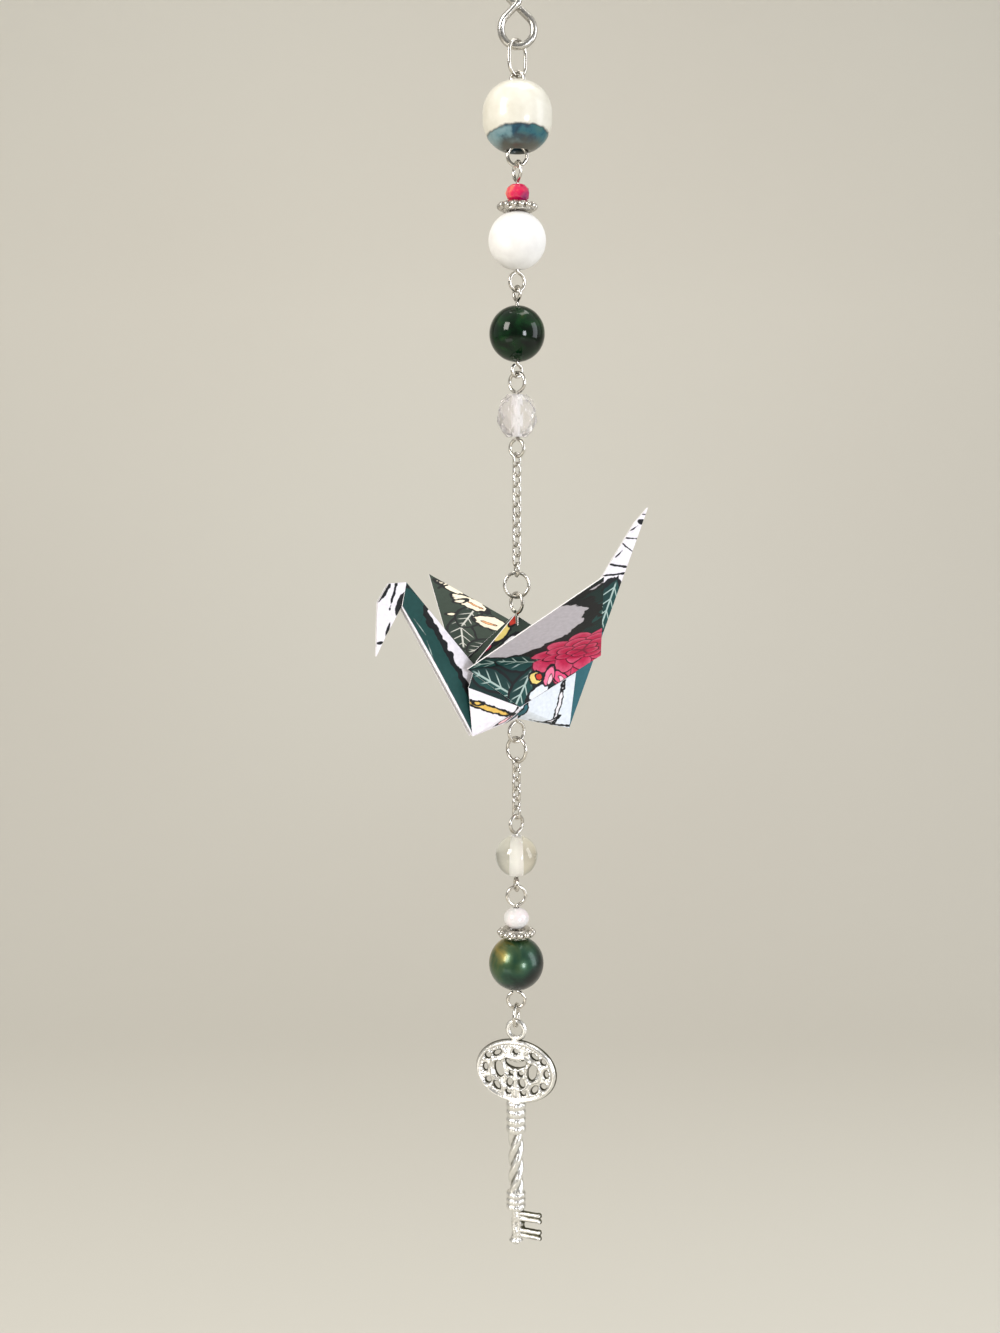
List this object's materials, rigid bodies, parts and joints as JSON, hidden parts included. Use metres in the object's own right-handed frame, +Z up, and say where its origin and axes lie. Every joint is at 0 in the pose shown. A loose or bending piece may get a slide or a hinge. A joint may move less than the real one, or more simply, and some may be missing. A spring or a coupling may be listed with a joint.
{
  "type": "hanging origami crane ornament",
  "caption": "Hanging ornament with a folded paper crane on a string of beads, fine chain and rings, with a wire hook above and a key charm below.",
  "frame": {"origin": "the top of the hook's opening, where it hangs on its support", "axes": "+Z up along the hanging string, +X to the right as seen from the front, +Y away from the viewer"},
  "size_m": [0.0394, 0.0424, 0.1952],
  "materials": {
    "steel_wire": "drawn steel wire, smooth",
    "plated_wire": "nickel-plated jewellery wire, bright",
    "antique_silver": "antique silver plate, dark in the recesses",
    "bright_silver": "cast alloy, bright silver plate",
    "washi_paper": "printed washi paper, satin",
    "dipped_glaze": "ivory glaze dipped in teal glaze",
    "pink_stone": "faceted and polished",
    "white_stone": "polished white stone",
    "green_agate": "polished dark green agate",
    "cut_crystal": "fire-polished cut crystal",
    "clear_glass": "clear glass with a frosted white bore",
    "white_glaze": "pearly white glaze",
    "green_pearl": "green pearl lustre coat"
  },
  "bodies": {
    "hanging_hook": {"hanging_hook": "steel_wire"},
    "top_ring": {"top_ring": "plated_wire"},
    "ceramic_pin": {"ceramic_pin": "plated_wire"},
    "white_pin": {"white_pin": "plated_wire"},
    "green_pin": {"green_pin": "plated_wire"},
    "crystal_pin": {"crystal_pin": "plated_wire"},
    "upper_chain_link_01": {"upper_chain_link_01": "plated_wire"},
    "upper_chain_link_02": {"upper_chain_link_02": "plated_wire"},
    "upper_chain_link_03": {"upper_chain_link_03": "plated_wire"},
    "upper_chain_link_04": {"upper_chain_link_04": "plated_wire"},
    "upper_chain_link_05": {"upper_chain_link_05": "plated_wire"},
    "upper_chain_link_06": {"upper_chain_link_06": "plated_wire"},
    "upper_chain_link_07": {"upper_chain_link_07": "plated_wire"},
    "upper_chain_link_08": {"upper_chain_link_08": "plated_wire"},
    "upper_chain_link_09": {"upper_chain_link_09": "plated_wire"},
    "upper_chain_link_10": {"upper_chain_link_10": "plated_wire"},
    "upper_chain_link_11": {"upper_chain_link_11": "plated_wire"},
    "upper_chain_link_12": {"upper_chain_link_12": "plated_wire"},
    "upper_jump_ring": {"upper_jump_ring": "plated_wire"},
    "crane_pin": {"crane_pin": "plated_wire"},
    "lower_jump_ring": {"lower_jump_ring": "plated_wire"},
    "lower_chain_link_01": {"lower_chain_link_01": "plated_wire"},
    "lower_chain_link_02": {"lower_chain_link_02": "plated_wire"},
    "lower_chain_link_03": {"lower_chain_link_03": "plated_wire"},
    "lower_chain_link_04": {"lower_chain_link_04": "plated_wire"},
    "lower_chain_link_05": {"lower_chain_link_05": "plated_wire"},
    "lower_chain_link_06": {"lower_chain_link_06": "plated_wire"},
    "clear_pin": {"clear_pin": "plated_wire"},
    "pearl_pin": {"pearl_pin": "plated_wire"},
    "key_ring": {"key_ring": "plated_wire"},
    "key_charm": {"key_charm": "bright_silver"},
    "ceramic_bead": {"ceramic_bead": "dipped_glaze"},
    "pink_bead": {"pink_bead": "pink_stone"},
    "upper_spacer": {"upper_spacer": "antique_silver"},
    "white_bead": {"white_bead": "white_stone"},
    "green_bead": {"green_bead": "green_agate"},
    "crystal_bead": {"crystal_bead": "cut_crystal"},
    "paper_crane": {"paper_crane": "washi_paper"},
    "clear_bead": {"clear_bead": "clear_glass"},
    "small_white_bead": {"small_white_bead": "white_glaze"},
    "lower_spacer": {"lower_spacer": "antique_silver"},
    "pearl_bead": {"pearl_bead": "green_pearl"}
  },
  "joints": [
    {"name": "top_ring_swing", "type": "hinge", "parent": "hanging_hook", "child": "top_ring", "pos_m": [0, 0, -0.022], "axis": [1, 0, 0], "range_deg": [-40, 40]},
    {"name": "ceramic_pin_swing", "type": "hinge", "parent": "top_ring", "child": "ceramic_pin", "pos_m": [0, 0, -0.02597], "axis": [-0.6691, -0.7431, 0], "range_deg": [-45, 45]},
    {"name": "white_pin_swing", "type": "hinge", "parent": "ceramic_pin", "child": "white_pin", "pos_m": [0, 0, -0.03792], "axis": [-0.9976, -0.0698, 0], "range_deg": [-45, 45]},
    {"name": "green_pin_swing", "type": "hinge", "parent": "white_pin", "child": "green_pin", "pos_m": [0, 0, -0.05484], "axis": [0.8192, 0.5736, 0], "range_deg": [-45, 45]},
    {"name": "crystal_pin_swing", "type": "hinge", "parent": "green_pin", "child": "crystal_pin", "pos_m": [0, 0, -0.06664], "axis": [0.788, 0.6157, 0], "range_deg": [-45, 45]},
    {"name": "upper_chain_link_01_swing", "type": "hinge", "parent": "crystal_pin", "child": "upper_chain_link_01", "pos_m": [0, 0, -0.07774], "axis": [-0.788, 0.6157, 0], "range_deg": [-45, 45]},
    {"name": "upper_chain_link_02_swing", "type": "hinge", "parent": "upper_chain_link_01", "child": "upper_chain_link_02", "pos_m": [0, 0, -0.07909], "axis": [-0.7071, -0.7071, 0], "range_deg": [-45, 45]},
    {"name": "upper_chain_link_03_swing", "type": "hinge", "parent": "upper_chain_link_02", "child": "upper_chain_link_03", "pos_m": [0, 0, -0.0805], "axis": [0.7071, -0.7071, 0], "range_deg": [-45, 45]},
    {"name": "upper_chain_link_04_swing", "type": "hinge", "parent": "upper_chain_link_03", "child": "upper_chain_link_04", "pos_m": [0, 0, -0.08191], "axis": [0.7071, 0.7071, 0], "range_deg": [-45, 45]},
    {"name": "upper_chain_link_05_swing", "type": "hinge", "parent": "upper_chain_link_04", "child": "upper_chain_link_05", "pos_m": [0, 0, -0.08332], "axis": [-0.7071, 0.7071, 0], "range_deg": [-45, 45]},
    {"name": "upper_chain_link_06_swing", "type": "hinge", "parent": "upper_chain_link_05", "child": "upper_chain_link_06", "pos_m": [0, 0, -0.08473], "axis": [-0.7071, -0.7071, 0], "range_deg": [-45, 45]},
    {"name": "upper_chain_link_07_swing", "type": "hinge", "parent": "upper_chain_link_06", "child": "upper_chain_link_07", "pos_m": [0, 0, -0.08614], "axis": [0.7071, -0.7071, 0], "range_deg": [-45, 45]},
    {"name": "upper_chain_link_08_swing", "type": "hinge", "parent": "upper_chain_link_07", "child": "upper_chain_link_08", "pos_m": [0, 0, -0.08755], "axis": [0.7071, 0.7071, 0], "range_deg": [-45, 45]},
    {"name": "upper_chain_link_09_swing", "type": "hinge", "parent": "upper_chain_link_08", "child": "upper_chain_link_09", "pos_m": [0, 0, -0.08896], "axis": [-0.7071, 0.7071, 0], "range_deg": [-45, 45]},
    {"name": "upper_chain_link_10_swing", "type": "hinge", "parent": "upper_chain_link_09", "child": "upper_chain_link_10", "pos_m": [0, 0, -0.09037], "axis": [-0.7071, -0.7071, 0], "range_deg": [-45, 45]},
    {"name": "upper_chain_link_11_swing", "type": "hinge", "parent": "upper_chain_link_10", "child": "upper_chain_link_11", "pos_m": [0, 0, -0.09178], "axis": [0.7071, -0.7071, 0], "range_deg": [-45, 45]},
    {"name": "upper_chain_link_12_swing", "type": "hinge", "parent": "upper_chain_link_11", "child": "upper_chain_link_12", "pos_m": [0, 0, -0.09319], "axis": [0.7071, 0.7071, 0], "range_deg": [-45, 45]},
    {"name": "upper_jump_ring_swing", "type": "hinge", "parent": "upper_chain_link_12", "child": "upper_jump_ring", "pos_m": [0, 0, -0.0946], "axis": [-0.3746, 0.9272, 0], "range_deg": [-45, 45]},
    {"name": "crane_pin_swing", "type": "hinge", "parent": "upper_jump_ring", "child": "crane_pin", "pos_m": [0, 0, -0.09758], "axis": [-0.9903, -0.1392, 0], "range_deg": [-45, 45]},
    {"name": "lower_jump_ring_swing", "type": "hinge", "parent": "crane_pin", "child": "lower_jump_ring", "pos_m": [0, 0, -0.1184], "axis": [-0.7431, -0.6691, 0], "range_deg": [-45, 45]},
    {"name": "lower_chain_link_01_swing", "type": "hinge", "parent": "lower_jump_ring", "child": "lower_chain_link_01", "pos_m": [0, 0, -0.12132], "axis": [0.7431, -0.6691, 0], "range_deg": [-45, 45]},
    {"name": "lower_chain_link_02_swing", "type": "hinge", "parent": "lower_chain_link_01", "child": "lower_chain_link_02", "pos_m": [0, 0, -0.12267], "axis": [0.7071, 0.7071, 0], "range_deg": [-45, 45]},
    {"name": "lower_chain_link_03_swing", "type": "hinge", "parent": "lower_chain_link_02", "child": "lower_chain_link_03", "pos_m": [0, 0, -0.12408], "axis": [0.7071, -0.7071, 0], "range_deg": [-45, 45]},
    {"name": "lower_chain_link_04_swing", "type": "hinge", "parent": "lower_chain_link_03", "child": "lower_chain_link_04", "pos_m": [0, 0, -0.12549], "axis": [-0.7071, -0.7071, 0], "range_deg": [-45, 45]},
    {"name": "lower_chain_link_05_swing", "type": "hinge", "parent": "lower_chain_link_04", "child": "lower_chain_link_05", "pos_m": [0, 0, -0.1269], "axis": [-0.7071, 0.7071, 0], "range_deg": [-45, 45]},
    {"name": "lower_chain_link_06_swing", "type": "hinge", "parent": "lower_chain_link_05", "child": "lower_chain_link_06", "pos_m": [0, 0, -0.12831], "axis": [0.7071, 0.7071, 0], "range_deg": [-45, 45]},
    {"name": "clear_pin_swing", "type": "hinge", "parent": "lower_chain_link_06", "child": "clear_pin", "pos_m": [0, 0, -0.12972], "axis": [0.7071, -0.7071, 0], "range_deg": [-45, 45]},
    {"name": "pearl_pin_swing", "type": "hinge", "parent": "clear_pin", "child": "pearl_pin", "pos_m": [0, 0, -0.14028], "axis": [-0.2419, 0.9703, 0], "range_deg": [-45, 45]},
    {"name": "key_ring_swing", "type": "hinge", "parent": "pearl_pin", "child": "key_ring", "pos_m": [0, 0, -0.15795], "axis": [-1, 0, 0], "range_deg": [-45, 45]},
    {"name": "key_charm_swing", "type": "hinge", "parent": "key_ring", "child": "key_charm", "pos_m": [0, 0, -0.16067], "axis": [-0.2079, -0.9781, 0], "range_deg": [-45, 45]},
    {"name": "ceramic_bead_spin", "type": "hinge", "parent": "ceramic_pin", "child": "ceramic_bead", "pos_m": [0, 0, -0.03097], "axis": [0, 0, 1], "continuous": true},
    {"name": "pink_bead_spin", "type": "hinge", "parent": "white_pin", "child": "pink_bead", "pos_m": [0, 0, -0.04292], "axis": [0, 0, 1], "continuous": true},
    {"name": "upper_spacer_spin", "type": "hinge", "parent": "white_pin", "child": "upper_spacer", "pos_m": [0, 0, -0.04292], "axis": [0, 0, 1], "continuous": true},
    {"name": "white_bead_spin", "type": "hinge", "parent": "white_pin", "child": "white_bead", "pos_m": [0, 0, -0.04292], "axis": [0, 0, 1], "continuous": true},
    {"name": "green_bead_spin", "type": "hinge", "parent": "green_pin", "child": "green_bead", "pos_m": [0, 0, -0.05984], "axis": [0, 0, 1], "continuous": true},
    {"name": "crystal_bead_spin", "type": "hinge", "parent": "crystal_pin", "child": "crystal_bead", "pos_m": [0, 0, -0.07164], "axis": [0, 0, 1], "continuous": true},
    {"name": "paper_crane_spin", "type": "hinge", "parent": "crane_pin", "child": "paper_crane", "pos_m": [0, 0, -0.10258], "axis": [0, 0, 1], "continuous": true},
    {"name": "clear_bead_spin", "type": "hinge", "parent": "clear_pin", "child": "clear_bead", "pos_m": [0, 0, -0.13472], "axis": [0, 0, 1], "continuous": true},
    {"name": "small_white_bead_spin", "type": "hinge", "parent": "pearl_pin", "child": "small_white_bead", "pos_m": [0, 0, -0.14528], "axis": [0, 0, 1], "continuous": true},
    {"name": "lower_spacer_spin", "type": "hinge", "parent": "pearl_pin", "child": "lower_spacer", "pos_m": [0, 0, -0.14528], "axis": [0, 0, 1], "continuous": true},
    {"name": "pearl_bead_spin", "type": "hinge", "parent": "pearl_pin", "child": "pearl_bead", "pos_m": [0, 0, -0.14528], "axis": [0, 0, 1], "continuous": true}
  ]
}
